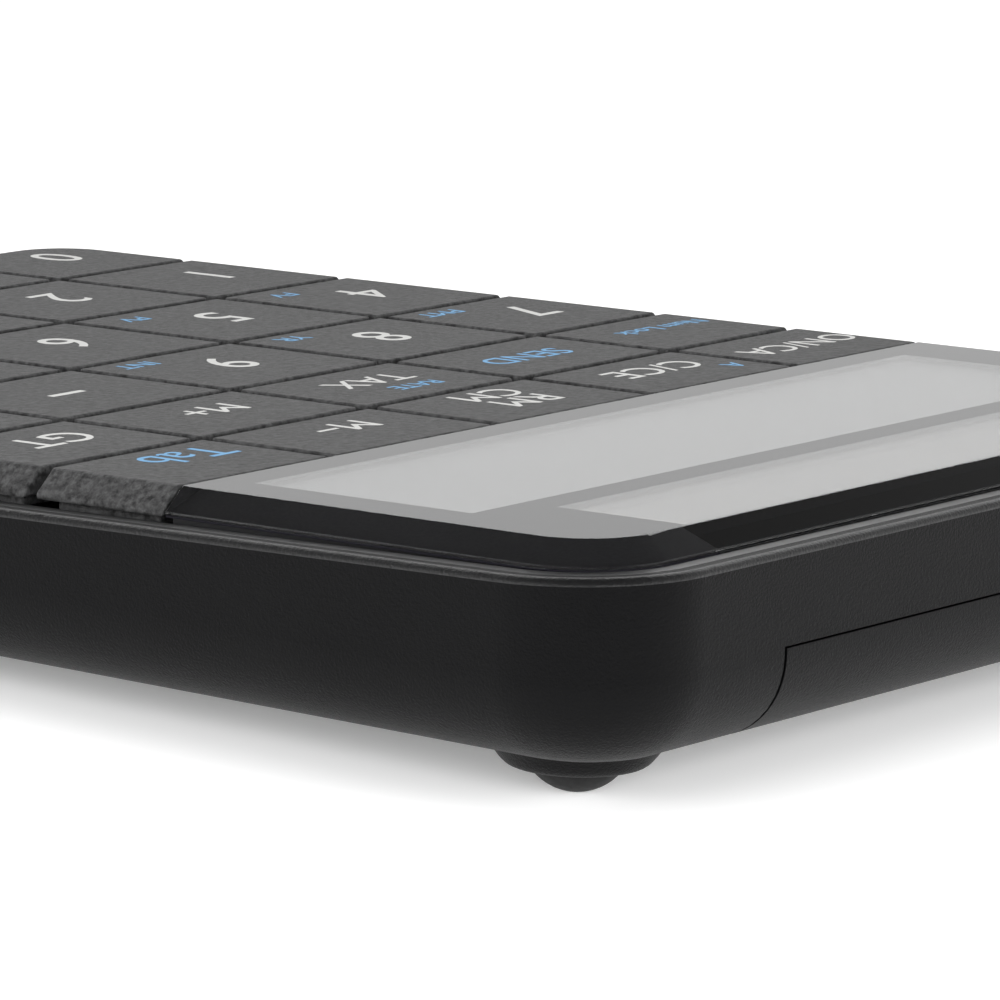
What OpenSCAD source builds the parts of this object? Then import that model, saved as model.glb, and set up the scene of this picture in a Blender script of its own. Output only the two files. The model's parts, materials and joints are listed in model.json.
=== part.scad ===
// Keypad desk calculator: a wedge-shaped tub, a key frame set into it, flush keys and a
// flush bevelled display window, standing on two rear bosses with domed rubber feet.
// The parts are drawn in the deck frame (z = 0 is the flush top of keys and window, y = 0 is
// the joint between keys and window, +Y towards the display end) and on_desk() sets them down.

/* [Case] */
// Width over the side walls
case_w = 108; // [100:0.5:140]
// Length over the end walls
case_l = 147.7; // [138:0.5:190]
// Depth from the deck to the underside at the display end
depth_rear = 16.7; // [15.5:0.1:22]
// Depth from the deck to the underside at the user's end
depth_front = 13.8; // [13:0.1:18]
// Radius of the bottom edge
bottom_r = 7; // [4:0.5:8]
// Thickness of the tub's walls and floor
wall = 1.8; // [1.5:0.1:2.4]
// Width of the tub's lip beside the key frame
rim_w = 1.35; // [1.1:0.05:1.6]
// Width of the frame's ledge around the deck
ledge_w = 1.4; // [1:0.1:2.5]
// Drop from the deck to the lip at the display end
drop_rear = 2; // [1.8:0.1:2.4]
// Drop from the deck to the lip at the user's end
drop_front = 3.6; // [2.4:0.1:4]

/* [Deck] */
// Gap between the deck and the ledge
deck_gap = 0.4; // [0.3:0.05:0.8]
// Width of the bevel round the deck
bevel_w = 1.95; // [1:0.05:2.5]
// Height of the bevel round the deck
bevel_h = 1.7; // [1:0.05:1.8]
// Corner radius at the foot of the bevel
deck_r = 7.5; // [4:0.5:9]
// Length of the display window, to the foot of its rear bevel
lens_l = 40.8; // [39:0.1:50]
// Thickness of the display window
lens_t = 2; // [1.9:0.1:2.2]

/* [Keys] */
// Depth of the first row, beside the window
row_a = 13.4; // [11:0.1:15]
// Depth of the second row
row_b = 14.25; // [12:0.05:17]
// Depth of the third row
row_c = 17.35; // [15:0.05:20]
// Gap between keys
key_gap = 1.1; // [0.8:0.05:1.5]
// Gap between the first row and the window
lens_gap = 0.3; // [0.2:0.05:0.6]
// Thickness of a key's cap
cap_t = 2.2; // [2:0.1:2.3]
// How far a key goes down
key_travel = 1.2; // [0.8:0.1:1.3]
// Width of a key's stem
stem_w = 8; // [6:0.5:9]
// Depth of a key's stem
stem_l = 5.6; // [4:0.2:6]
// Clearance round a stem in the key frame
stem_fit = 0.2; // [0.1:0.05:0.3]

/* [Display] */
// Half width of the display opening in the mask
lcd_half = 43.3; // [38:0.1:44]
// Front edge of the display opening
lcd_y0 = 2.3; // [2:0.1:5]
// Depth of the display opening
lcd_open = 20.6; // [16:0.1:21]
// Half width of the solar opening
solar_half = 37.1; // [30:0.1:42]
// Front edge of the solar opening
solar_y0 = 26; // [25.6:0.1:30]
// Thickness of the printed mask
mask_t = 0.15; // [0.1:0.01:0.2]

/* [Feet] */
// Distance of the feet from the side walls
foot_side = 15.1; // [13:0.1:20]
// Distance of the feet from the end walls
foot_end = 14.5; // [13:0.1:20]
// Height of the rear bosses
boss_h = 2.3; // [1:0.1:5]
// Radius of a boss where it meets the underside
boss_r = 7.6; // [6:0.1:8]
// Radius of a boss's flat tip
boss_tip = 4.9; // [4.5:0.1:5.5]
// Radius of the rubber dome
dome_r = 3.7; // [2.5:0.1:3.9]
// Height of the rubber dome
dome_h = 2.1; // [1:0.1:2.5]
// Height worn off the tip of each dome
foot_flat = 0.15; // [0.05:0.05:0.3]

/* [Battery door] */
// Distance from the door's sides to the axes of the feet
door_clear = 5.9; // [5.9:0.1:12]
// Length of the door under the case
door_l = 32; // [28:0.5:34]
// Thickness of the door
door_t = 1.4; // [1.1:0.1:1.6]
// Depth from the deck to the door's upper seam
door_drop = 9.1; // [8.5:0.1:10.5]
// Open seam beside the door
door_gap = 0.3; // [0.2:0.05:0.5]
// Diameter of the coin cell
cell_d = 20; // [16:0.5:20]
// Thickness of the coin cell
cell_t = 3.2; // [2.5:0.1:3.2]

/* [Hidden] */
edge_w = rim_w + ledge_w + deck_gap;
deck_w = case_w - 2 * edge_w;
corner_r = deck_r + edge_w;
y_rear = lens_l + edge_w;
y_front = y_rear - case_l;
y_deck_front = y_front + edge_w;
col_pitch = (deck_w + key_gap) / 5;
row_n = (-y_deck_front + key_gap / 2 - row_a - row_b - row_c) / 3;
row_y = [0, -row_a, -row_a - row_b, -row_a - row_b - row_c,
         -row_a - row_b - row_c - row_n, -row_a - row_b - row_c - 2 * row_n,
         -row_a - row_b - row_c - 3 * row_n];
wedge_a = atan((depth_rear - depth_front) / case_l);
rim_a = atan((drop_front - drop_rear) / (lens_l - y_deck_front));
web_t = 1.4;
frame_bottom = -5.9;
web_top = frame_bottom + web_t;
frame_fit = 0.08;
seat_z = -lens_t - mask_t;
seat_inset = 0.5;
groove_z = -3.4;
skirt_inset = 1.2;
skirt_clear = 0.15;
skirt_z = web_top + key_travel + skirt_clear;
flange_t = 0.45;
flange_over = 0.8;
stop_gap = 0.15;
stem_bottom = frame_bottom - stop_gap - flange_t;
sheet_t = 0.5;
board_t = 1.2;
board_top = -8.5;
board_bottom = board_top - board_t;
contact_gap = 0.05;
lcd_gap = 0.3;
lcd_top = seat_z - lcd_gap;
lcd_t = 2;
reflector_t = 0.15;
lcd_margin = 0.8;
lcd_ledge = 3.2;
lcd_half_all = lcd_half + lcd_margin;
lcd_front = lcd_y0 - lcd_margin;
lcd_back = lcd_y0 + lcd_open + lcd_margin;
pocket_fit = 0.4;
pocket_back = 0.2;
solar_top = seat_z - 0.15;
solar_t = 1.1;
solar_bottom = solar_top - solar_t;
solar_half_all = solar_half + 0.5;
solar_front = solar_y0 - 0.5;
solar_back = lens_l - 1.2;
solar_fit = 0.4;
solar_fit_y = 0.3;
lead_r = 0.5;
lead_x = solar_half - 8;
lead_y = lens_l - 10;
foot_x = case_w / 2 - foot_side;
foot_y = [y_rear - foot_end, y_front + foot_end];
foot_deep = 1.3;
foot_fit = 0.1;
plug_r = dome_r - 0.1;
dome_sphere = (dome_r * dome_r + dome_h * dome_h) / (2 * dome_h);
boss_steps = 14;
boss_root = 1.2;
head_r = 2;
head_h = 1.4;
head_deep = 1.8;
floor_t = 1.4;
shaft_r = 1;
bore_fit = 0.03;
screw_hole_fit = 0.2;
post_r = 2.6;
post_gap = 0.1;
pad_r = 4.4;
pad_front_r = 3.6;
pad_sink = 0.5;
front_recess = 0.4;
front_screw = [1.5 * col_pitch, row_y[5]];
rear_grip = 5;
front_grip = 3;
board_screw_r = 0.9;
board_head_r = 1.8;
board_head_h = 1.1;
board_grip = 2;
board_screw_x = col_pitch / 2;
board_boss_r = 2.2;
board_margin = 4.5;
board_corner = 6;
hole_gap = 0.3;
door_half = foot_x - door_clear;
door_top = -door_drop;
door_seam = 0.15;
door_y0 = y_rear - door_l;
recess = door_t + 0.1;
tab_w = 8;
tab_l = 2.4;
tab_t = 0.7;
tab_fit = 0.1;
cell_y = y_rear - door_l / 2 - 2;
cell_z = recess + 0.1;
cell_step = 0.4;
cell_rim = 1.2;
cup_r = cell_d / 2 + 0.2;
cup_wall = 1.3;
cup_top = cell_z + cell_t + 0.25;
cup_top_t = 1;
cup_slot_w = 5.4;
contact_w = 5;
contact_t = 0.3;
contact_x = cell_d / 2 + 0.03;
sheet_margin = 6;
sheet_back = 1.5;
dome_base_r = 3;
dome_top_r = 2;
tall = 10;
far = 400;
fine = 64;
smooth = 40;

function rim_z(y) = -drop_rear - (lens_l - y) * tan(rim_a);
function under_z(y) = -depth_rear + (y_rear - y) * tan(wedge_a);
function edge_z(y) = under_z(y) + bottom_r / cos(wedge_a);
foot_rim = [under_z(foot_y[0]) - boss_h, under_z(foot_y[1])];
foot_centre = [for (z = foot_rim) z - dome_h + dome_sphere];
desk_a = atan((foot_centre[1] - foot_centre[0]) / (foot_y[0] - foot_y[1]));
desk_lift = dome_sphere - foot_flat - foot_y[0] * sin(desk_a) - foot_centre[0] * cos(desk_a);
reach_rear = (y_rear - bottom_r) * cos(desk_a) + (depth_rear - bottom_r) * sin(desk_a) + bottom_r;
reach_front = y_front * cos(desk_a) - rim_z(y_front) * sin(desk_a);
desk_shift = -(reach_rear + reach_front) / 2;
rear_seat = foot_rim[0] + foot_deep + head_deep;
front_seat = under_z(front_screw[1]) + front_recess + head_deep;
cell_to_board = board_bottom - under_z(cell_y) - cell_z - contact_w * tan(wedge_a);

// Column and row of each key, and the rows that it spans
KEY_PLACES = concat([for (row = [0:5], col = [0:3]) [col, row, 1]],
                    [for (row = [0:3]) [4, row, 1]], [[4, 4, 2]]);

// ---------- frames and shared shapes ----------

module on_desk() {
    translate([0, desk_shift, desk_lift]) rotate([desk_a, 0, 0]) children();
}

module both_sides(x) {
    for (side = [-1, 1]) translate([side * x, 0, 0]) children();
}

module at_feet(end) {
    both_sides(foot_x) translate([0, foot_y[end], 0]) children();
}

module at_front_screws() {
    both_sides(front_screw[0]) translate([0, front_screw[1], 0]) children();
}

module at_board_screws() {
    both_sides(board_screw_x) for (row = [2, 5]) translate([0, row_y[row], 0]) children();
}

// Round column from one height to another
module column(r, z0, z1) {
    translate([0, 0, z0]) cylinder(r = r, h = z1 - z0, $fn = fine);
}

// Square block between two corners
module block(low, high) {
    translate(low) cube(high - low);
}

// Everything behind the joint between keys and window
module behind_joint() {
    translate([-far / 2, lens_gap, -far / 2]) cube(far);
}

module rounded_outline(w, y0, y1, r) {
    translate([-w / 2 + r, y0]) square([w - 2 * r, y1 - y0]);
    translate([-w / 2, y0 + r]) square([w, y1 - y0 - 2 * r]);
    for (x = [-w / 2 + r, w / 2 - r], y = [y0 + r, y1 - r]) translate([x, y]) circle(r, $fn = fine);
}

// Upright prism on the deck's outline at the foot of the bevel, grown by g
module deck_prism(g, z0, z1) {
    translate([0, 0, z0]) linear_extrude(z1 - z0)
        rounded_outline(deck_w + 2 * g, y_deck_front - g, lens_l + g, deck_r + g);
}

// The deck as one bevelled slab, from which the window and the outer keys are cut
module deck_slab() {
    hull() {
        deck_prism(0, -cap_t, -bevel_h);
        translate([0, 0, -0.01]) linear_extrude(0.01)
            rounded_outline(deck_w - 2 * bevel_w, y_deck_front + bevel_w, lens_l - bevel_w,
                            deck_r - bevel_w);
    }
}

// Disc with a rounded lower edge, its rounding centred on z = 0
module rounded_puck(r, edge) {
    rotate_extrude($fn = smooth) intersection() {
        union() {
            translate([0, -edge]) square([r - edge, 2 * edge]);
            translate([r - edge, 0]) circle(edge, $fn = smooth);
        }
        translate([0, -edge]) square([r, edge]);
    }
}

// The tub's outer form, moved inwards by inset, with its open top above the deck
module case_form(inset) {
    hull() {
        for (x = [-1, 1], y = [y_front + corner_r, y_rear - corner_r])
            translate([x * (case_w / 2 - corner_r), y, 0]) {
                translate([0, 0, frame_bottom])
                    cylinder(r = corner_r - inset, h = 1 - frame_bottom, $fn = smooth);
                translate([0, 0, edge_z(y)]) rotate([-wedge_a, 0, 0])
                    rounded_puck(corner_r - inset, bottom_r - inset);
            }
    }
}

// Section of the same form across the rear edge, in Y and Z
module case_section(inset) {
    y = y_rear - bottom_r;
    r = bottom_r - inset;
    translate([y, edge_z(y)]) {
        circle(r, $fn = fine);
        translate([-far, 0]) square([far + r, far]);
        rotate(-wedge_a) translate([-far, -r]) square([far, 2 * r]);
    }
}

// A skin of that form as wide as the battery door, between two depths below its surface
module door_skin(half, outer, inner, y0, z1) {
    translate([-half, 0, 0]) rotate([90, 0, 90]) linear_extrude(2 * half) intersection() {
        difference() {
            case_section(outer);
            case_section(inner);
        }
        translate([y0, -far / 2]) square([far, far / 2 + z1]);
    }
}

module above_rim() {
    translate([0, lens_l, -drop_rear]) rotate([rim_a, 0, 0])
        translate([-far / 2, -far / 2, 0]) cube(far);
}

module door_tabs(g) {
    both_sides(door_half / 2) translate([0, door_y0, under_z(door_y0)]) rotate([-wedge_a, 0, 0])
        translate([-tab_w / 2 - g, -tab_l - g, (door_t - tab_t) / 2 - g])
            cube([tab_w + 2 * g, tab_l + 1 + g, tab_t + 2 * g]);
}

// Boss under a rear corner: an S-shaped skirt that runs out of the underside
module foot_boss() {
    translate([0, 0, -boss_h]) rotate_extrude($fn = fine)
        polygon(concat([[0, 0]],
            [for (i = [0:boss_steps]) [boss_tip + (boss_r - boss_tip) * i / boss_steps,
                                       boss_h * (1 - cos(180 * i / boss_steps)) / 2]],
            [[boss_r, boss_h + boss_root], [0, boss_h + boss_root]]));
}

module foot_bosses() {
    at_feet(0) translate([0, 0, under_z(foot_y[0])]) rotate([-wedge_a, 0, 0]) foot_boss();
}

// The plan of the battery door, grown by g
module door_plan(g) {
    block([-door_half - g, door_y0 - g, -far], [door_half + g, far, far]);
}

// Screw tunnel from below: open up to the seat of the head, then a shaft hole
module screw_tunnel(z0, seat) {
    column(head_r + screw_hole_fit, z0 - 1, seat);
    column(shaft_r + screw_hole_fit, z0, seat + floor_t + 1);
}

module in_cell_frame() {
    translate([0, cell_y, under_z(cell_y)]) rotate([-wedge_a, 0, 0]) children();
}

// ---------- case ----------

module case_shell() {
    difference() {
        case_form(0);
        above_rim();
        case_form(wall);
        translate([0, 0, frame_bottom]) linear_extrude(tall)
            rounded_outline(case_w - 2 * rim_w, y_front + rim_w, y_rear - rim_w, corner_r - rim_w);
        door_skin(door_half + door_gap, -1, recess, door_y0 - door_gap, door_top);
    }
}

module lower_case() {
    color([0.17, 0.17, 0.175]) on_desk() difference() {
        union() {
            case_shell();
            door_skin(door_half + door_gap + wall, recess, recess + wall - 0.4,
                      door_y0 - door_gap - wall, door_top + wall);
            difference() {
                foot_bosses();
                door_plan(door_gap);
            }
            at_feet(0) column(pad_r, foot_rim[0] + foot_deep + 1, rear_seat + floor_t);
            at_feet(1) column(pad_r, foot_rim[1] + pad_sink, foot_rim[1] + foot_deep + 1.2);
            at_front_screws()
                column(pad_front_r, under_z(front_screw[1]) + pad_sink, front_seat + floor_t);
            in_cell_frame() column(cup_r + cup_wall, recess + 0.5, cup_top + cup_top_t);
        }
        for (end = [0, 1]) at_feet(end)
            column(plug_r + foot_fit, foot_rim[end] - 1, foot_rim[end] + foot_deep);
        at_feet(0) screw_tunnel(foot_rim[0], rear_seat);
        at_front_screws() screw_tunnel(under_z(front_screw[1]), front_seat);
        in_cell_frame() {
            column(cup_r, 0, cup_top);
            column(0.9, 0, cup_top + 3);
            block([cell_d / 2 - 1, -cup_slot_w / 2, recess - 1],
                  [cell_d / 2 + 1.05, cup_slot_w / 2, recess + 7]);
        }
        door_tabs(tab_fit);
    }
}

// The frame's full outline, with the deck sunk into it and a groove left along the joint
module frame_plate() {
    side = rim_w + frame_fit;
    difference() {
        translate([0, 0, frame_bottom]) linear_extrude(tall) rounded_outline(
            case_w - 2 * side, y_front + side, y_rear - side, corner_r - side);
        above_rim();
        difference() {
            deck_prism(deck_gap, web_top, 5);
            block([-far / 2, -lens_gap / 2, web_top], [far / 2, far, groove_z]);
        }
    }
}

module upper_frame() {
    color([0.12, 0.12, 0.125]) on_desk() difference() {
        union() {
            frame_plate();
            intersection() {
                deck_prism(-seat_inset, frame_bottom, seat_z);
                behind_joint();
            }
            at_feet(0) column(post_r, rear_seat + floor_t + post_gap, frame_bottom + post_gap);
            at_front_screws()
                column(post_r, front_seat + floor_t + post_gap, frame_bottom + pad_sink + post_gap);
            at_board_screws() column(board_boss_r, board_top, web_top);
        }
        for (p = KEY_PLACES) translate(concat(key_centre(p), [frame_bottom - 1]))
            linear_extrude(web_t + 2)
                square([stem_w + 2 * stem_fit, stem_l + 2 * stem_fit], center = true);
        block([-lcd_half_all - pocket_fit, lcd_front - pocket_fit, frame_bottom - 1],
              [lcd_half_all + pocket_fit, lcd_back + pocket_fit - pocket_back, 2]);
        block([-solar_half_all - solar_fit, solar_front - solar_fit_y, solar_bottom],
              [solar_half_all + solar_fit, solar_back + solar_fit_y, 2]);
        both_sides(lead_x) translate([0, lead_y, 0]) column(lead_r + 0.3, frame_bottom - 1, -1);
        at_feet(0) column(shaft_r + bore_fit, foot_rim[0], rear_seat + floor_t + rear_grip + 1);
        at_front_screws()
            column(shaft_r + bore_fit, under_z(front_screw[1]), front_seat + floor_t + 4.6);
        at_board_screws() column(board_screw_r + bore_fit, board_top - 1, board_top + 2.6);
    }
}

module battery_door() {
    color([0.17, 0.17, 0.175]) on_desk() {
        door_skin(door_half, 0, door_t, door_y0, door_top - door_seam);
        intersection() {
            foot_bosses();
            door_plan(0);
        }
        door_tabs(0);
    }
}

module foot(z) {
    column(plug_r, z, z + foot_deep - 0.1);
    intersection() {
        translate([0, 0, z - dome_h + dome_sphere]) sphere(dome_sphere, $fn = fine);
        block([-5, -5, z - 5], [5, 5, z]);
    }
}

module foot_pair(end) {
    color([0.02, 0.02, 0.02]) difference() {
        on_desk() at_feet(end) foot(foot_rim[end]);
        block([-far / 2, -far / 2, -far], [far / 2, far / 2, 0]);
    }
}

module rear_feet() { foot_pair(0); }

module front_feet() { foot_pair(1); }

module screw(seat, reach, r, head, thick) {
    column(head, seat - thick, seat);
    column(r, seat - 0.2, seat + reach);
}

module case_screws() {
    color([0.75, 0.75, 0.77]) on_desk() {
        at_feet(0) screw(rear_seat, floor_t + rear_grip, shaft_r, head_r, head_h);
        at_front_screws() screw(front_seat, floor_t + front_grip, shaft_r, head_r, head_h);
    }
}

module board_screws() {
    color([0.75, 0.75, 0.77]) on_desk() at_board_screws()
        screw(board_bottom, board_t + board_grip, board_screw_r, board_head_r, board_head_h);
}

// ---------- display ----------

module display_lens() {
    color([0.1, 0.1, 0.11, 0.6]) on_desk() intersection() {
        deck_slab();
        translate([-far / 2, 0, -lens_t]) cube(far);
    }
}

module lens_mask() {
    color([0.03, 0.03, 0.03]) on_desk() difference() {
        intersection() {
            deck_prism(0, seat_z, -lens_t);
            translate([-far / 2, 0, -far / 2]) cube(far);
        }
        block([-lcd_half, lcd_y0, -far / 2], [lcd_half, lcd_y0 + lcd_open, far / 2]);
        block([-solar_half, solar_y0, -far / 2], [solar_half, far, far / 2]);
    }
}

module lcd_slab(z0, z1, trim) {
    block([-lcd_half_all, lcd_front + trim, z0], [lcd_half_all, lcd_back, z1]);
}

module lcd_panel() { color([0.62, 0.65, 0.6]) on_desk() lcd_slab(lcd_top - lcd_t, lcd_top, 0); }

module lcd_reflector() {
    color([0.8, 0.8, 0.78]) on_desk()
        lcd_slab(lcd_top - lcd_t - reflector_t, lcd_top - lcd_t, lcd_ledge);
}

module lcd_tray() {
    color([0.2, 0.2, 0.2]) on_desk()
        lcd_slab(frame_bottom, lcd_top - lcd_t - reflector_t, lcd_ledge);
}

// Flexible strip from the panel's front ledge down to the board
module lcd_connector() {
    half = 30;
    top = lcd_top - lcd_t;
    t = 0.3;
    lap = 2.6;
    color([0.75, 0.45, 0.15]) on_desk() translate([-half, lcd_front, 0]) rotate([90, 0, 90])
        linear_extrude(2 * half) polygon([[0, board_top], [lap, board_top], [lap, board_top + t],
            [t, board_top + t], [t, top - t], [lap, top - t], [lap, top], [0, top]]);
}

module solar_cell() {
    color([0.1, 0.07, 0.06]) on_desk() block([-solar_half_all, solar_front, solar_bottom],
                                             [solar_half_all, solar_back, solar_top]);
}

module solar_leads() {
    color([0.7, 0.1, 0.1]) on_desk() both_sides(lead_x) translate([0, lead_y, 0])
        column(lead_r, board_top, solar_bottom);
}

// ---------- electronics ----------

module board_outline() {
    tongue = [solar_half - 4, lens_l - 23, lens_l - 6];
    difference() {
        union() {
            rounded_outline(case_w - 2 * board_margin, y_front + board_margin, tongue[1] + 1,
                            board_corner);
            translate([-tongue[0], tongue[1]]) square([2 * tongue[0], tongue[2] - tongue[1]]);
        }
        at_front_screws() circle(post_r + hole_gap, $fn = fine);
        at_board_screws() circle(board_screw_r + 0.2, $fn = fine);
    }
}

module main_board() {
    color([0.08, 0.3, 0.14]) on_desk() translate([0, 0, board_bottom])
        linear_extrude(board_t) board_outline();
}

module controller_chip() {
    chip = [12, 12, 1.1];
    color([0.05, 0.05, 0.05]) on_desk() translate([-6, -46, board_bottom - chip[2]]) cube(chip);
}

// Crystal, three chip capacitors and the buzzer disc under the board
module board_components() {
    color([0.7, 0.6, 0.3]) on_desk() translate([0, 0, board_bottom]) {
        translate([14, -44, -1.2]) cube([7, 2.4, 1.2]);
        for (x = [-22, -17, -12]) translate([x, -36, -0.8]) cube([2, 1.25, 0.8]);
        translate([-20, -50, 0]) column(2.2, -1.6, 0);
    }
}

// Rubber sheet on the board with a dome under each key
module dome_sheet() {
    base = board_top + sheet_t;
    color([0.55, 0.56, 0.58]) on_desk() union() {
        difference() {
            block([-case_w / 2 + sheet_margin, y_front + sheet_margin, board_top],
                  [case_w / 2 - sheet_margin, -sheet_back, base]);
            at_front_screws() column(post_r + hole_gap, board_top - 1, base + 1);
            at_board_screws() column(board_boss_r + hole_gap, board_top - 1, base + 1);
        }
        for (p = KEY_PLACES) translate(concat(key_centre(p), [base - 0.1]))
            cylinder(r1 = dome_base_r, r2 = dome_top_r,
                     h = stem_bottom - contact_gap - base + 0.1, $fn = fine);
    }
}

module coin_cell() {
    color([0.8, 0.8, 0.8]) on_desk() in_cell_frame() {
        column(cell_d / 2, cell_z, cell_z + cell_t - cell_step);
        column(cell_d / 2 - cell_rim, cell_z, cell_z + cell_t);
    }
}

module negative_contact() {
    color([0.85, 0.8, 0.65]) on_desk() in_cell_frame() translate([0, 0, cell_z + cell_t]) {
        column(3.5, 0, 0.15);
        column(0.6, 0, cell_to_board - cell_t);
    }
}

module positive_contact() {
    color([0.85, 0.8, 0.65]) on_desk() in_cell_frame()
        block([contact_x, -contact_w / 2, cell_z],
              [contact_x + contact_t, contact_w / 2, cell_z + cell_to_board]);
}

// ---------- keys ----------

function key_x0(col) = (col - 2.5) * col_pitch + key_gap / 2;
function key_y1(row) = row == 0 ? -lens_gap : row_y[row] - key_gap / 2;
function key_y0(row, rows) = row_y[row + rows] + key_gap / 2;
function key_centre(p) = [(p[0] - 2) * col_pitch, (key_y1(p[1]) + key_y0(p[1], p[2])) / 2];

// The key's own share of the deck, drawn in by inset, from the depth z to the depth top
module key_block(col, row, rows, inset, z, top) {
    block([key_x0(col) + inset, key_y0(row, rows) + inset, z],
          [key_x0(col + 1) - key_gap - inset, key_y1(row) - inset, top]);
}

// A key: a flat cap, bevelled where it meets the deck's edge, on a skirt and a stem with a
// stop flange
module key_cap(col, row, rows = 1) {
    on_edge = col == 0 || col == 4 || row + rows == 6;
    stem = [stem_w, stem_l] / 2;
    flange = stem + [flange_over, flange_over];
    color([0.37, 0.37, 0.375]) on_desk() {
        if (on_edge) intersection() {
            key_block(col, row, rows, 0, -cap_t, 0);
            deck_slab();
        } else key_block(col, row, rows, 0, -cap_t, 0);
        intersection() {
            key_block(col, row, rows, skirt_inset, skirt_z, -cap_t);
            deck_prism(-skirt_inset, skirt_z, -cap_t);
        }
        translate(concat(key_centre([col, row, rows]), [0])) {
            block(concat(-stem, [stem_bottom]), concat(stem, [-cap_t]));
            block(concat(-flange, [stem_bottom]), concat(flange, [stem_bottom + flange_t]));
        }
    }
}

lower_case();
upper_frame();
battery_door();
rear_feet();
front_feet();
case_screws();
board_screws();
display_lens();
lens_mask();
lcd_panel();
lcd_reflector();
lcd_tray();
lcd_connector();
solar_cell();
solar_leads();
main_board();
controller_chip();
board_components();
dome_sheet();
coin_cell();
negative_contact();
positive_contact();
key_cap(0, 0);  // key_on
key_cap(1, 0);  // key_clear
key_cap(2, 0);  // key_recall_memory
key_cap(3, 0);  // key_memory_minus
key_cap(4, 0);  // key_tab
key_cap(0, 1);  // key_num_lock
key_cap(1, 1);  // key_send
key_cap(2, 1);  // key_backspace
key_cap(3, 1);  // key_memory_plus
key_cap(4, 1);  // key_grand_total
key_cap(0, 2);  // key_7
key_cap(1, 2);  // key_8
key_cap(2, 2);  // key_9
key_cap(3, 2);  // key_minus
key_cap(4, 2);  // key_divide
key_cap(0, 3);  // key_4
key_cap(1, 3);  // key_5
key_cap(2, 3);  // key_6
key_cap(3, 3);  // key_plus
key_cap(4, 3);  // key_multiply
key_cap(0, 4);  // key_1
key_cap(1, 4);  // key_2
key_cap(2, 4);  // key_3
key_cap(3, 4);  // key_percent
key_cap(4, 4, 2);  // key_equals
key_cap(0, 5);  // key_0
key_cap(1, 5);  // key_double_zero
key_cap(2, 5);  // key_point
key_cap(3, 5);  // key_sign
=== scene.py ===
import json
import math
import bpy
from mathutils import Matrix, Vector

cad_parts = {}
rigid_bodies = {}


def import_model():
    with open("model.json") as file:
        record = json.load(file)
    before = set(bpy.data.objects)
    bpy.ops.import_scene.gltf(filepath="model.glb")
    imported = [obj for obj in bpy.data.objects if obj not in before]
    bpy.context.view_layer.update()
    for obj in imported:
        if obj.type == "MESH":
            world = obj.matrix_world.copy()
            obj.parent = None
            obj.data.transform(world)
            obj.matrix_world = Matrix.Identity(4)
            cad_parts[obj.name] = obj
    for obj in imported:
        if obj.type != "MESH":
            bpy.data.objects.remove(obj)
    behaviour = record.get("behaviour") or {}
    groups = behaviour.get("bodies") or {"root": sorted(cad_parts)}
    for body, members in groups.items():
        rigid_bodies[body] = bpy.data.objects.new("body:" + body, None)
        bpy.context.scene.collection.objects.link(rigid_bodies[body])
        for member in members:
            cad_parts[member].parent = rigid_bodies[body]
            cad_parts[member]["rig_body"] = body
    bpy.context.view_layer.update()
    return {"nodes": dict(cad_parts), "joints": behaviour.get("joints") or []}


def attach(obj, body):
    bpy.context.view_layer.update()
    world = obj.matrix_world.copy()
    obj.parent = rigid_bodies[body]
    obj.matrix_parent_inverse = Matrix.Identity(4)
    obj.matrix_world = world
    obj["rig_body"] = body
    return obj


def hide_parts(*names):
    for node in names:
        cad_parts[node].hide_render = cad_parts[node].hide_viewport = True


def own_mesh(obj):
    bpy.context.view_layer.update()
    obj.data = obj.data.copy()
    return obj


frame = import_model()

# ---- The deck ----
# The key tops and the window lie flush in one plane that leans towards the user. Most pieces
# are placed in that plane, in millimetres: x across, y from the keys to the display, z up.
mm = 0.001
pressing = next(joint for joint in frame["joints"] if joint["name"] == "key_5_press")
press = pressing["axis"]
lean = Matrix.Rotation(math.atan2(press[1], -press[2]), 4, "X")


def box_along(turn, node):
    points = [turn @ vertex.co for vertex in frame["nodes"][node].data.vertices]
    low = Vector([min(point[axis] for point in points) for axis in range(3)])
    high = Vector([max(point[axis] for point in points) for axis in range(3)])
    return low, high


window_low, window_high = box_along(lean.inverted(), "display_lens")
deck = lean @ Matrix.Translation((0, window_low.y, window_high.z)) @ Matrix.Scale(mm, 4)


def deck_box(node):
    return box_along(deck.inverted(), node)


# ---- Camera ----
# A long lens, low over the rear right corner, looking across the window towards the keys.
focal_length = 235.9
heading = math.radians(217.5)
dip = math.radians(9.635)
roll = math.radians(0.445)
eye = Vector((415.9, 311.4, 80.7))
look = Vector((math.cos(heading) * math.cos(dip), math.sin(heading) * math.cos(dip),
               -math.sin(dip)))
bpy.ops.object.camera_add()
camera = bpy.context.object
camera.name = "camera"
camera.data.lens = focal_length
camera.data.sensor_width = 36
camera.data.clip_start = 0.01
aim = lean @ look.to_track_quat("-Z", "Y").to_matrix().to_4x4() @ Matrix.Rotation(roll, 4, "Z")
camera.matrix_world = Matrix.Translation(deck @ eye) @ aim
bpy.context.scene.camera = camera
bpy.context.scene.view_settings.view_transform = "Standard"


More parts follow.
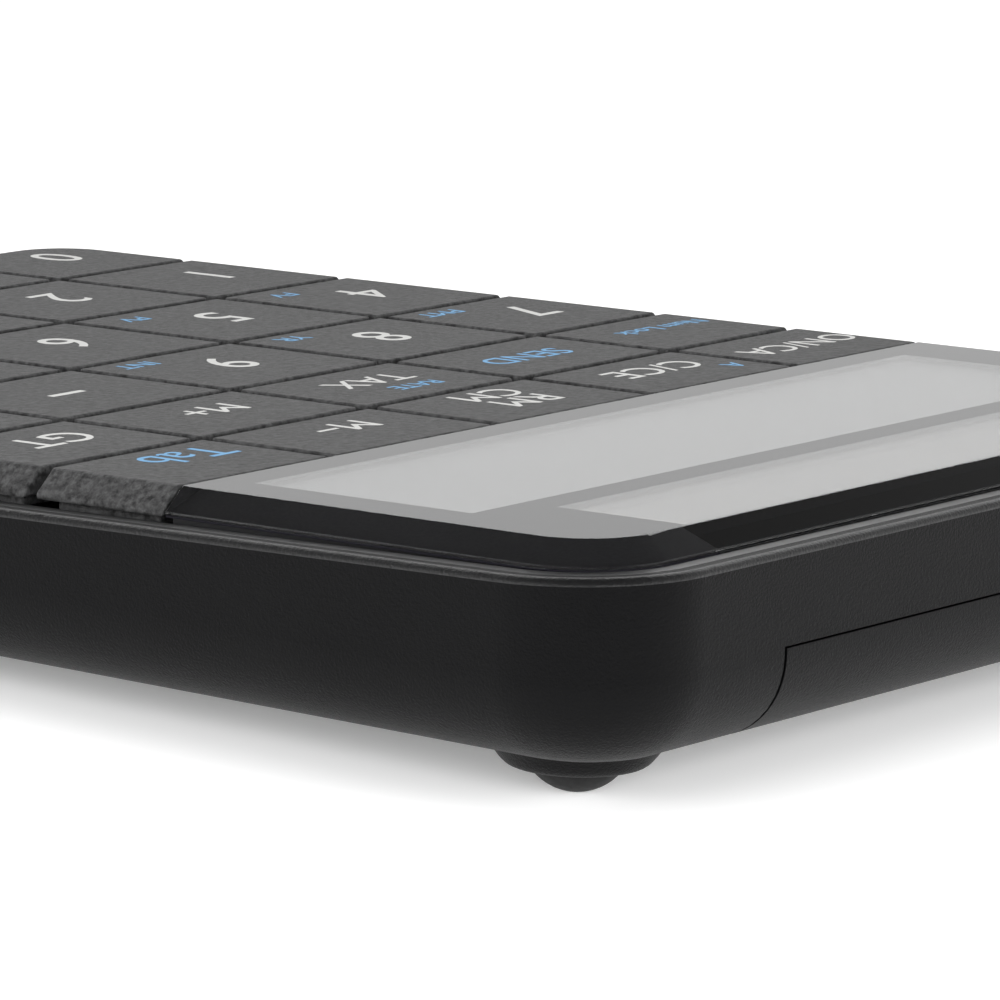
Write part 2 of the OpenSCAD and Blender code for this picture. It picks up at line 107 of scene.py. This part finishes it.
# ---- Case tub ----
# One moulding in nearly black ABS with a fine spark-eroded texture: floor, walls, rear bosses,
# battery well. Its edges and the lip round the key frame are softened by the tool's radii.
class Value:
    """A socket or a number in a finish, so that sums of them read as plain Python."""

    def __init__(self, finish, socket):
        self.finish = finish
        self.socket = socket

    def __add__(self, other):
        return self.finish.math("ADD", self, other)

    def __radd__(self, other):
        return self.finish.math("ADD", other, self)

    def __sub__(self, other):
        return self.finish.math("SUBTRACT", self, other)

    def __rsub__(self, other):
        return self.finish.math("SUBTRACT", other, self)

    def __mul__(self, other):
        return self.finish.math("MULTIPLY", self, other)

    def __rmul__(self, other):
        return self.finish.math("MULTIPLY", other, self)

    def above(self, level):
        return self.finish.math("GREATER_THAN", self, level)


class Graph:
    """A tree of shader nodes, of which one is the shader that is shown."""

    def __init__(self, tree, shader):
        self.tree = tree
        self.shader = tree.nodes[shader]

    def feed(self, socket, value):
        if isinstance(value, Value):
            self.tree.links.new(value.socket, socket)
        else:
            socket.default_value = value

    def set(self, socket, value):
        self.feed(self.shader.inputs[socket], value)

    def node(self, kind, settings, sockets, output=0):
        made = self.tree.nodes.new(kind)
        for setting, value in settings.items():
            setattr(made, setting, value)
        for socket, value in sockets.items():
            self.feed(made.inputs[socket], value)
        return Value(self, made.outputs[output])

    def math(self, operation, first, second):
        return self.node("ShaderNodeMath", {"operation": operation}, {0: first, 1: second})

    def place(self):
        return self.node("ShaderNodeTexCoord", {}, {}, output=3)

    def along(self, axis):
        return self.node("ShaderNodeSeparateXYZ", {}, {0: self.place()}, output=axis)

    def noise(self, size, detail=2.0, rough=0.5):
        sockets = {"Vector": self.place(), "Scale": 1 / size, "Detail": detail, "Roughness": rough}
        return self.node("ShaderNodeTexNoise", {}, sockets)

    def cells(self, size, feature="F1"):
        sockets = {"Vector": self.place(), "Scale": 1 / size}
        return self.node("ShaderNodeTexVoronoi", {"feature": feature}, sockets)

    def mix(self, share, first, second):
        sockets = {0: share, 6: (*first, 1), 7: (*second, 1)}
        return self.node("ShaderNodeMix", {"data_type": "RGBA"}, sockets, output=2)

    def spread(self, value, low, high, start=0.0, end=1.0, shape="LINEAR"):
        sockets = {0: value, 1: start, 2: end, 3: low, 4: high}
        return self.node("ShaderNodeMapRange", {"interpolation_type": shape}, sockets)


class Finish(Graph):
    """A material: constants on the shader's own sockets, and nodes for what varies."""

    def __init__(self, name, colour, roughness, **constants):
        self.material = bpy.data.materials.new(name)
        self.material.use_nodes = True
        super().__init__(self.material.node_tree, "Principled BSDF")
        self.material.diffuse_color = (*colour, 1)
        self.set("Base Color", (*colour, 1))
        self.set("Roughness", roughness)
        for socket, value in constants.items():
            self.set(socket.replace("_", " "), value)

    def bump(self, height, depth, strength=1.0):
        sockets = {"Height": height, "Distance": depth, "Strength": strength}
        self.set("Normal", self.node("ShaderNodeBump", {}, sockets))


def select_only(piece):
    bpy.ops.object.select_all(action="DESELECT")
    piece.select_set(True)
    bpy.context.view_layer.objects.active = piece


def moulded_copy(node, name, finish):
    """The node's shape as one closed mesh, ready to be finished, standing for the node."""
    piece = bpy.data.objects.new(name, frame["nodes"][node].data.copy())
    bpy.context.scene.collection.objects.link(piece)
    piece.data.materials.clear()
    piece.data.materials.append(finish.material)
    select_only(piece)
    bpy.ops.mesh.customdata_custom_splitnormals_clear()
    bpy.ops.object.mode_set(mode="EDIT")
    bpy.ops.mesh.select_all(action="SELECT")
    bpy.ops.mesh.remove_doubles(threshold=2e-6)
    bpy.ops.mesh.dissolve_limited(angle_limit=math.radians(0.3))
    bpy.ops.object.mode_set(mode="OBJECT")
    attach(piece, frame["nodes"][node]["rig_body"])
    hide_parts(node)
    return piece


def soften(piece, radius, steps=2, sharper_than=35):
    """Rounds the piece's sharp edges and shades what is left smooth."""
    select_only(piece)
    edge = piece.modifiers.new("edges", "BEVEL")
    edge.width = radius * mm
    edge.segments = steps
    edge.limit_method = "ANGLE"
    edge.angle_limit = math.radians(sharper_than)
    edge.use_clamp_overlap = True
    bpy.ops.object.modifier_apply(modifier=edge.name)
    bpy.ops.object.shade_smooth_by_angle(angle=math.radians(32))
    even = piece.modifiers.new("normals", "WEIGHTED_NORMAL")
    even.keep_sharp = True
    bpy.ops.object.modifier_apply(modifier=even.name)


case_finish = Finish("case_plastic", (0.0016, 0.0016, 0.0019), 0.46, Specular_IOR_Level=0.1)
case_grain = case_finish.noise(0.22 * mm, detail=3.0, rough=0.6)
case_finish.set("Base Color", case_finish.mix(
    case_finish.noise(9 * mm), (0.0012, 0.0012, 0.0014), (0.002, 0.002, 0.0022)))
case_finish.set("Roughness", case_finish.spread(case_grain, 0.36, 0.52))
case_finish.bump(case_grain, 0.06 * mm, 1.0)

# A lighter, glossier copy of the case plastic for the rounded lip: a painted highlight along the
# top of the walls, on what is the same plastic as the tub.
lip_highlight_finish = Finish("case_lip_painted_highlight", (0.003, 0.003, 0.0032), 0.4, Specular_IOR_Level=0.6)
lip_grain = lip_highlight_finish.noise(0.25 * mm, detail=3.0, rough=0.6)
lip_highlight_finish.set("Roughness", lip_highlight_finish.spread(lip_grain, 0.3, 0.5))
lip_highlight_finish.bump(lip_grain, 0.08 * mm, 1.0)

tub = moulded_copy("lower_case", "case_tub", case_finish)
tub_low, tub_high = deck_box("lower_case")
tub_middle = (tub_low + tub_high) / 2
corner_round = 10.65
lip_round = 0.6
lip_depth = 5
wall_slack = 0.2


def on_outer_lip(vertex):
    place = deck.inverted() @ vertex.co - tub_middle
    beyond = [max(abs(place[axis]) - (tub_high - tub_middle)[axis] + corner_round, 0)
              for axis in range(2)]
    on_wall = math.hypot(*beyond) > corner_round - wall_slack
    return on_wall and place.z + tub_middle.z > -lip_depth


select_only(tub)
lip = {vertex.index for vertex in tub.data.vertices if on_outer_lip(vertex)}
bpy.ops.object.mode_set(mode="EDIT")
bpy.ops.mesh.select_mode(type="EDGE")
bpy.ops.mesh.select_all(action="DESELECT")
bpy.ops.object.mode_set(mode="OBJECT")
for edge in tub.data.edges:
    edge.select = set(edge.vertices) <= lip
bpy.ops.object.mode_set(mode="EDIT")
bpy.ops.mesh.bevel(offset=lip_round * mm, segments=5)
# The bevelled lip faces take the lighter, glossier copy, which paints the lip's highlight.
tub.data.materials.append(lip_highlight_finish.material)
tub.active_material_index = 1
bpy.ops.object.material_slot_assign()
bpy.ops.object.mode_set(mode="OBJECT")
soften(tub, 0.14, steps=2)

# ---- Battery door ----
# A slide-off panel in the tub's plastic, wrapped round the rear bottom edge, with two tabs.
door = moulded_copy("battery_door", "battery_door_panel", case_finish)
soften(door, 0.12)

# ---- Feet ----
# Four domes in soft black silicone rubber, glued into recesses, their tips worn flat.
rubber = Finish("rubber_foot", (0.006, 0.006, 0.006), 0.55, Specular_IOR_Level=0.25)
rubber.set("Roughness", rubber.spread(rubber.noise(0.5 * mm), 0.45, 0.7))
rubber.bump(rubber.noise(0.2 * mm), 0.01 * mm, 0.4)
for end in ("rear", "front"):
    feet = moulded_copy(f"{end}_feet", f"{end}_rubber_feet", rubber)
    soften(feet, 0.08)

# ---- Silicone domes ----
# One moulded silicone sheet lies on the board, with a dome under each key; the domes keep their
# shape when a key goes down. The sheet is held between the board and the key frame.
def tinted(name, colour, roughness, grain, depth, **constants):
    """A plain finish whose colour, gloss and surface vary a little at the grain's size."""
    finish = Finish(name, colour, roughness, **constants)
    speckle = finish.noise(grain * mm, 3.0)
    darker = tuple(part * 0.88 for part in colour)
    finish.set("Base Color", finish.mix(speckle, darker, colour))
    finish.set("Roughness", finish.spread(speckle, roughness * 0.85, roughness * 1.15))
    finish.bump(speckle, depth * mm, 0.5)
    return finish


silicone = tinted("silicone", (0.3, 0.31, 0.33), 0.5, 0.6, 0.01)
sheet_thickness = 0.5
dome_foot_radius = 3
dome_tip_radius = 2
above_sheet = 0.01
sheet_low, sheet_high = deck_box("dome_sheet")
sheet_top = sheet_low.z + sheet_thickness
dome_height = sheet_high.z - sheet_top
travel = pressing["range_m"][1] / mm
moulded_copy("dome_sheet", "silicone_sheet", silicone)
bpy.ops.object.mode_set(mode="EDIT")
bpy.ops.mesh.select_all(action="SELECT")
bpy.ops.mesh.bisect(plane_co=deck @ Vector((0, 0, sheet_top + above_sheet)),
                    plane_no=-Vector(press), use_fill=True, clear_outer=True)
bpy.ops.object.mode_set(mode="OBJECT")

bpy.ops.object.select_all(action="DESELECT")
bpy.ops.mesh.primitive_cone_add(vertices=48, radius1=dome_foot_radius * mm,
                                radius2=dome_tip_radius * mm, depth=dome_height * mm)
pattern = bpy.context.object
pattern.data.materials.append(silicone.material)
soften(pattern, 0.15)
for key in [node for node in frame["nodes"] if node.startswith("key_")]:
    low, high = deck_box(key)
    dome = bpy.data.objects.new(f"dome_under_{key}", pattern.data.copy())
    bpy.context.scene.collection.objects.link(dome)
    seat = Vector(((low.x + high.x) / 2, (low.y + high.y) / 2, sheet_top + dome_height / 2))
    dome.data.transform(Matrix.Translation(deck @ seat) @ lean)
    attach(dome, "case")
    1 - travel / dome_height
    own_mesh(dome)
bpy.data.objects.remove(pattern)

# ---- Key frame ----
# The upper moulding set into the tub: a smooth semi-gloss ledge round the deck, a dark well
# under it and a web with a slot for each key's stem. It is fixed by four screws from below.
frame_finish = Finish("frame_plastic", (0.014, 0.014, 0.0145), 0.32, Specular_IOR_Level=0.45)
frame_finish.set("Roughness", frame_finish.spread(frame_finish.noise(1.5 * mm, 3.0), 0.26, 0.38))
frame_finish.bump(frame_finish.noise(0.3 * mm), 0.006 * mm, 0.5)
key_frame = moulded_copy("upper_frame", "key_frame", frame_finish)
soften(key_frame, 0.15)

# ---- Keys ----
# Flat charcoal caps with a fine leather grain, moulded with the bevel of the deck on those at
# its edge. The legends are printed on top in light grey, and in blue for the second function.
key_finish = Finish("key_plastic", (0.04, 0.04, 0.0405), 0.5, Specular_IOR_Level=0.2)
leather = key_finish.cells(0.6 * mm, "SMOOTH_F1")
fine_grain = key_finish.noise(0.22 * mm, detail=4.0, rough=0.65)
key_grain = leather * 0.7 + fine_grain * 0.6
speckle = key_finish.spread(key_finish.noise(0.6 * mm, 4.0, 0.7), 0, 1, 0.36, 0.64)
key_finish.set("Base Color", key_finish.mix(speckle, (0.01, 0.01, 0.0102), (0.052, 0.052, 0.0525)))
key_finish.set("Roughness", key_finish.spread(fine_grain, 0.42, 0.6))
key_finish.bump(key_grain, 0.08 * mm, 1.0)

white_ink = Finish("legend_white", (0.5, 0.5, 0.485), 0.5)
white_ink.set("Roughness", white_ink.spread(white_ink.noise(0.2 * mm), 0.4, 0.6))
blue_ink = Finish("legend_blue", (0.09, 0.28, 0.5), 0.5)
blue_ink.set("Roughness", blue_ink.spread(blue_ink.noise(0.2 * mm), 0.4, 0.6))
ink_depth = 0.03


def print_legend(key, name, words, height, ink, across, along):
    """Prints words on a key, as tall as given, its middle at a place measured from the key's."""
    low, high = deck_box(key)
    bpy.ops.object.select_all(action="DESELECT")
    bpy.ops.object.text_add()
    letters = bpy.context.object
    letters.name = f"{name}_on_{key}"
    letters.data.body = words
    letters.data.align_x = "CENTER"
    letters.data.space_line = 0.8
    letters.data.resolution_u = 5
    letters.data.extrude = 0.5
    letters.data.materials.append(ink.material)
    bpy.ops.object.convert(target="MESH")
    points = [vertex.co for vertex in letters.data.vertices]
    middle = [(max(p[i] for p in points) + min(p[i] for p in points)) / 2 for i in range(2)]
    tall = max(p.y for p in points) - min(p.y for p in points)
    fit = Matrix.Diagonal((height / tall, height / tall, ink_depth, 1))
    seat = Vector(((low.x + high.x) / 2 + across, (low.y + high.y) / 2 + along, 0))
    letters.data.transform(
        deck @ Matrix.Translation(seat) @ fit @ Matrix.Translation((-middle[0], -middle[1], 0)))
    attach(letters, key)
    return letters


DIGIT_KEYS = {"key_0": "0", "key_double_zero": "00", "key_point": ".", "key_1": "1",
              "key_2": "2", "key_3": "3", "key_4": "4", "key_5": "5", "key_6": "6",
              "key_7": "7", "key_8": "8", "key_9": "9"}
SIGN_KEYS = {"key_minus": "−", "key_divide": "÷", "key_plus": "+",
             "key_multiply": "×", "key_percent": "%", "key_equals": "=", "key_sign": "+/−"}
keys = [node for node in frame["nodes"] if node.startswith("key_")]
for node in keys:
    cap = moulded_copy(node, f"cap_of_{node}", key_finish)
    soften(cap, 0.2, steps=3)
for node, words in DIGIT_KEYS.items():
    print_legend(node, "digit", words, 0.9 if words == "." else 5.6, white_ink, -1.0, -0.9)
for node, words in SIGN_KEYS.items():
    print_legend(node, "sign", words, {"−": 0.7, "=": 2.6}.get(words, 4.2), white_ink, 0, 0)
print_legend("key_tab", "legend", "Tab", 4.0, blue_ink, -3.0, -2.2)
print_legend("key_grand_total", "legend", "GT", 4.2, white_ink, -2.0, -1.0)
print_legend("key_memory_minus", "legend", "M−", 3.4, white_ink, -1.0, -1.8)
print_legend("key_memory_plus", "legend", "M+", 3.4, white_ink, -1.0, -1.4)
print_legend("key_recall_memory", "legend", "RM\nCM", 7.4, white_ink, -1.0, -1.3)
print_legend("key_clear", "legend", "C/CE", 3.6, white_ink, -0.6, -1.3)
print_legend("key_on", "legend", "ON/CA", 3.2, white_ink, 0.2, -0.4)
print_legend("key_num_lock", "legend", "Num Lock", 1.9, blue_ink, -0.6, -1.6)
print_legend("key_send", "legend", "SEND", 3.0, blue_ink, 0.4, 0)
print_legend("key_backspace", "legend", "TAX", 3.2, white_ink, -0.6, -1.4)

BLUE_MARKS = {"key_9": "INT", "key_8": "YR", "key_7": "PMT", "key_5": "PV", "key_4": "FV"}
for node, words in BLUE_MARKS.items():
    print_legend(node, "second", words, 1.9, blue_ink, 5.2, -5.8)
print_legend("key_clear", "second", "A", 1.9, blue_ink, -7.2, 2.2)
print_legend("key_backspace", "second", "RATE", 1.7, blue_ink, -1.6, 2.8)

# ---- Display window ----
# A slab of clear acrylic with a polished bevel, printed black on its back round two openings.
# It is bonded on the frame's seat, flush with the keys, over the display and the solar cell.
acrylic = Finish("window_acrylic", (1, 1, 1), 0.0, IOR=1.49, Transmission_Weight=1.0)
acrylic.set("Base Color", acrylic.mix(acrylic.noise(6 * mm), (0.97, 0.98, 0.98), (1, 1, 1)))
window = moulded_copy("display_lens", "window", acrylic)
soften(window, 0.07)

mask_ink = Finish("mask_ink", (0.0065, 0.006, 0.0085), 0.6, Specular_IOR_Level=0.2)
mask_ink.set("Roughness", mask_ink.spread(mask_ink.noise(0.3 * mm), 0.5, 0.7))
print_depth = 0.02
mask = moulded_copy("lens_mask", "window_print", mask_ink)
into_window = deck.to_3x3() @ Vector((0, 0, print_depth))
mask_low, mask_high = deck_box("lens_mask")
mask_middle = (mask_low + mask_high) / 2
trim = Matrix.Diagonal([1 - print_depth / half for half in (mask_high - mask_middle).xy] + [1, 1])
about_middle = deck @ Matrix.Translation(mask_middle)
for vertex in mask.data.vertices:
    if (deck.inverted() @ vertex.co).z > mask_high.z - print_depth:
        vertex.co += into_window
mask.data.transform(about_middle @ trim @ about_middle.inverted())

# ---- Display and solar cell ----
# A reflective liquid-crystal panel with its polariser, clear of the window by a small gap, and
# an amorphous solar cell on glass, in strips wired end to end.
panel = Finish("lcd_glass", (0.14, 0.15, 0.13), 0.3, Specular_IOR_Level=0.5)
panel.set("Base Color", panel.mix(
    panel.noise(1.2 * mm, 3.0), (0.1, 0.105, 0.105), (0.12, 0.125, 0.125)))
solar = Finish("silicon", (0.075, 0.055, 0.045), 0.06)
strip = solar.math("FRACT", (solar.along(0) + 0.2) * (1 / (12.4 * mm)), 0)
solar.set("Base Color", solar.mix(strip.above(0.96), (0.075, 0.055, 0.045), (0.2, 0.17, 0.13)))

# ---- Inside ----
# The parts that only show when the door is off or the case is open keep their drawn shapes.
INSIDE = {
    "lcd_reflector": tinted("film", (0.6, 0.6, 0.58), 0.35, 0.4, 0.005),
    "lcd_tray": tinted("tray_plastic", (0.03, 0.03, 0.03), 0.5, 0.3, 0.01),
    "lcd_connector": tinted("flex", (0.45, 0.2, 0.05), 0.35, 0.5, 0.005),
    "solar_leads": tinted("wire", (0.4, 0.03, 0.02), 0.45, 0.4, 0.005),
    "main_board": tinted("circuit", (0.03, 0.13, 0.06), 0.35, 0.8, 0.01),
    "controller_chip": tinted("chip_resin", (0.015, 0.015, 0.015), 0.6, 0.2, 0.01),
    "board_components": tinted("component", (0.35, 0.27, 0.12), 0.4, 0.3, 0.01),
    "coin_cell": tinted("cell_steel", (0.62, 0.62, 0.62), 0.28, 0.25, 0.004, Metallic=1.0),
    "negative_contact": tinted("contact_metal", (0.7, 0.6, 0.35), 0.3, 0.25, 0.004, Metallic=1.0),
    "case_screws": tinted("screw_steel", (0.55, 0.55, 0.56), 0.32, 0.2, 0.004, Metallic=1.0),
}
INSIDE["positive_contact"] = INSIDE["negative_contact"]
INSIDE["board_screws"] = INSIDE["case_screws"]
INSIDE["lcd_panel"] = panel
INSIDE["solar_cell"] = solar
for node, finish in INSIDE.items():
    slots = frame["nodes"][node].data.materials
    slots.clear()
    slots.append(finish.material)

# ---- Studio ----
# A plain white table that glows faintly, which lightens the shadow. Softboxes hang overhead and
# behind, and stand low round the camera. The sky is bright low down and dark above the object.
bpy.ops.object.select_all(action="DESELECT")
bpy.ops.mesh.primitive_plane_add(size=6)
table = bpy.context.object
table.name = "table"
table_finish = Finish("table_white", (0.93, 0.93, 0.93), 0.9, Specular_IOR_Level=0.1,
                      Emission_Color=(1, 1, 1, 1), Emission_Strength=0.2)
table.data.materials.append(table_finish.material)


def softbox(name, place, width, height, energy):
    """A rectangular lamp at a place, in metres, turned towards the middle of the table."""
    bpy.ops.object.light_add(type="AREA", location=place)
    lamp = bpy.context.object
    lamp.name = name
    lamp.data.shape = "RECTANGLE"
    lamp.data.size = width
    lamp.data.size_y = height
    lamp.data.energy = energy
    lamp.rotation_euler = (-lamp.location).to_track_quat("-Z", "Y").to_euler()
    return lamp


away = Vector((look.x, look.y, 0)).normalized()
softbox("overhead_softbox", (0, 0, 1.2), 2.4, 2.4, 15).visible_glossy = False
softbox("back_softbox", away * 0.9 + Vector((0, 0, 0.75)), 1.6, 0.4, 5).visible_diffuse = False
for turn in (-60, 0, 60):
    side = Matrix.Rotation(math.radians(turn), 3, "Z") @ -away
    low_lamp = softbox(f"low_softbox_{turn}", side * 0.8 + Vector((0, 0, 0.25)), 0.9, 0.35, 6.5)
    low_lamp.visible_glossy = False
    low_lamp.visible_transmission = False

world = bpy.data.worlds.new("studio")
world.use_nodes = True
bpy.context.scene.world = world
sky = Graph(world.node_tree, "Background")
direction = sky.node("ShaderNodeTexCoord", {}, {}, output=0)
height = sky.node("ShaderNodeSeparateXYZ", {}, {0: direction}, output=2)
towards_eye = tuple(camera.matrix_world.translation.normalized())
facing = sky.node("ShaderNodeVectorMath", {"operation": "DOT_PRODUCT"},
                  {0: direction, 1: towards_eye}, output=1)
by_height = sky.spread(height, 0.78, 0.1, 0.3, 0.65, "SMOOTHSTEP")
by_side = sky.spread(facing, 1, 0.1, 0.3, 0.9, "SMOOTHSTEP")
sky.set("Color", (1, 1, 1, 1))
sky.set("Strength", by_height * by_side + 0.03)
